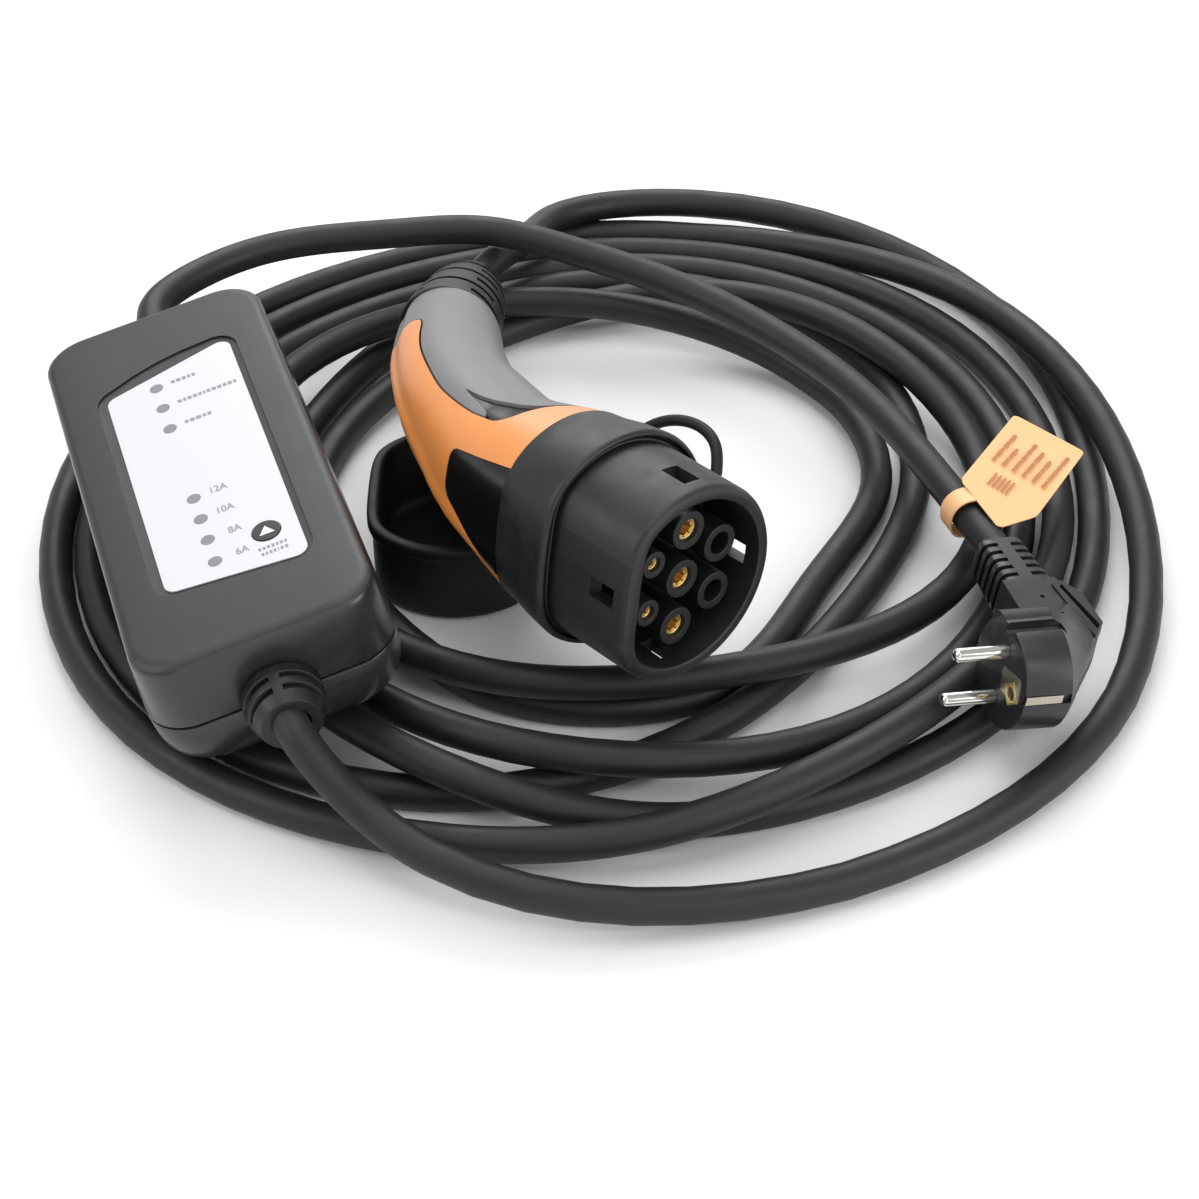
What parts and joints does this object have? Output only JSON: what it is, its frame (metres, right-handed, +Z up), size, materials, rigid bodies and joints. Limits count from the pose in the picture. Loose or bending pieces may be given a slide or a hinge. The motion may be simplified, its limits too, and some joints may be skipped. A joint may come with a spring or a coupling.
{
  "type": "electric car charging cable",
  "caption": "Charging cable for an electric car: a loose coil of black cable with a control box, an orange and grey car connector with its cap, and an angled mains plug.",
  "frame": {"origin": "on the ground under the middle of the box round the control box, the car connector and its cap", "axes": "+Z up, the coil flat on the ground; -Y the way the car connector's mouth faces; -X the side of the control box"},
  "size_m": [0.426, 0.4061, 0.1125],
  "materials": {
    "box_plastic": "fine textured black",
    "label_film": "white satin film",
    "button_plastic": "black",
    "grey_plastic": "translucent grey",
    "board": "green solder mask",
    "black_parts": "moulded black",
    "terminal_plastic": "green moulded",
    "copper_wound": "wound wire",
    "cable_jacket": "matt extruded jacket",
    "core_jacket": "smooth",
    "soft_black": "soft matt moulding",
    "connector_grey": "dark grey moulding",
    "cover_orange": "satin orange",
    "grip_grey": "satin mid grey",
    "panel_black": "smooth black",
    "contact_brass": "gold plated",
    "nickel": "bright nickel",
    "steel": "zinc plated",
    "plug_black": "satin black moulding",
    "tag_orange": "matt film"
  },
  "bodies": {
    "charger": {"lower_housing": "box_plastic", "upper_housing": "box_plastic", "housing_seal": "soft_black", "housing_screws": "steel", "label_overlay": "label_film", "setting_switch": "black_parts", "status_lights": "grey_plastic", "display_board": "board", "control_board": "board", "power_relay": "black_parts", "current_transformer": "copper_wound", "power_supply": "black_parts", "smoothing_capacitor": "black_parts", "mains_terminals": "terminal_plastic", "load_terminals": "terminal_plastic", "mains_gland": "soft_black", "load_gland": "soft_black", "mains_cores": "core_jacket", "load_cores": "core_jacket", "charging_cable": "cable_jacket", "mains_lead": "cable_jacket", "cap_tether": "soft_black", "nose_shroud": "connector_grey", "contact_carrier": "connector_grey", "phase_contact": "contact_brass", "neutral_contact": "contact_brass", "earth_contact": "contact_brass", "pilot_contact": "contact_brass", "proximity_contact": "contact_brass", "connector_cores": "core_jacket", "collar": "connector_grey", "handle_cover": "cover_orange", "grip_shell": "grip_grey", "side_panel": "panel_black", "cable_clamp": "black_parts", "clamp_screws": "steel", "cable_boot": "soft_black", "protective_cap": "soft_black", "plug_body": "plug_black", "live_pin": "nickel", "neutral_pin": "nickel", "earth_clip": "nickel", "earth_socket": "contact_brass", "cable_tag": "tag_orange"},
    "button": {"setting_button": "button_plastic"}
  },
  "joints": [
    {"name": "button_press", "type": "slide", "parent": "charger", "child": "button", "axis": [0.1928, -0.0779, -0.9781], "range_m": [0, 0.0005], "stiffness_N_per_m": 1500}
  ]
}
